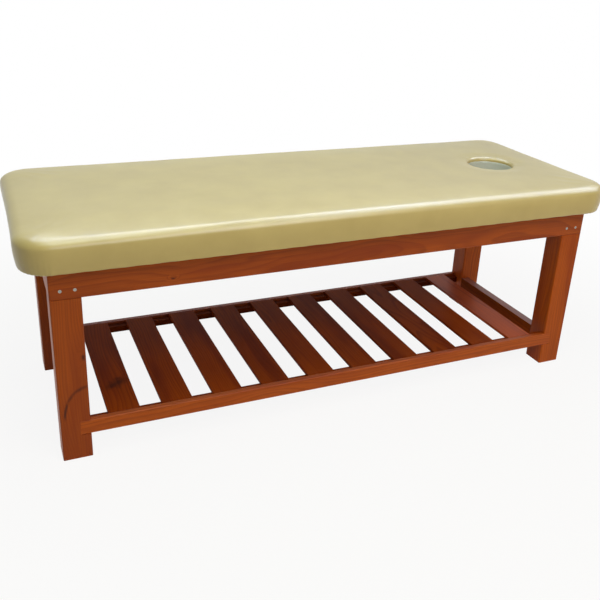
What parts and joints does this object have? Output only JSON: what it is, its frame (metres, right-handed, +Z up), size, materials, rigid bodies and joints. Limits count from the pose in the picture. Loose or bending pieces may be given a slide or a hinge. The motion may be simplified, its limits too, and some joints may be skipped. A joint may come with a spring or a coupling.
{
  "type": "treatment bed",
  "caption": "Fixed-height wooden treatment bed: an upholstered top with a face hole on a legged frame with a slatted storage shelf.",
  "frame": {"origin": "on the floor, under the middle of the upholstered top", "axes": "+X along the bed to its head end, where the face hole is; +Y to the far side; +Z up"},
  "size_m": [1.85, 0.696, 0.672],
  "materials": {
    "stained_pine_legs": "satin lacquer over a red-brown stain",
    "stained_pine_frame": "satin lacquer over a red-brown stain",
    "stained_pine_slats": "satin lacquer over a red-brown stain",
    "bare_pine": "planed, unfinished",
    "plywood": "sanded, unfinished",
    "foam": "open-cell upholstery foam",
    "cream_vinyl": "soft upholstery vinyl, semi-gloss",
    "black_fleece": "non-woven lining cloth",
    "zinc_screws": "zinc plated",
    "beech_dowels": "turned, unfinished"
  },
  "bodies": {
    "root": {"leg_foot_front": "stained_pine_legs", "leg_foot_rear": "stained_pine_legs", "leg_head_front": "stained_pine_legs", "leg_head_rear": "stained_pine_legs", "apron_front": "stained_pine_frame", "apron_rear": "stained_pine_frame", "apron_head": "stained_pine_frame", "apron_foot": "stained_pine_frame", "bearer_1": "bare_pine", "bearer_2": "bare_pine", "bearer_3": "bare_pine", "bearer_4": "bare_pine", "shelf_rail_front": "stained_pine_frame", "shelf_rail_rear": "stained_pine_frame", "shelf_rail_head": "stained_pine_frame", "shelf_rail_foot": "stained_pine_frame", "shelf_cleat_front": "stained_pine_slats", "shelf_cleat_rear": "stained_pine_slats", "slat_1": "stained_pine_slats", "slat_2": "stained_pine_slats", "slat_3": "stained_pine_slats", "slat_4": "stained_pine_slats", "slat_5": "stained_pine_slats", "slat_6": "stained_pine_slats", "slat_7": "stained_pine_slats", "slat_8": "stained_pine_slats", "slat_9": "stained_pine_slats", "slat_10": "stained_pine_slats", "deck_board": "plywood", "foam_pad": "foam", "vinyl_cover": "cream_vinyl", "face_hole_lining": "cream_vinyl", "dust_cover": "black_fleece", "apron_screws": "zinc_screws", "end_apron_screws": "zinc_screws", "deck_screws": "zinc_screws", "slat_screws": "zinc_screws", "cleat_screws": "zinc_screws", "shelf_rail_dowels": "beech_dowels"}
  },
  "joints": []
}
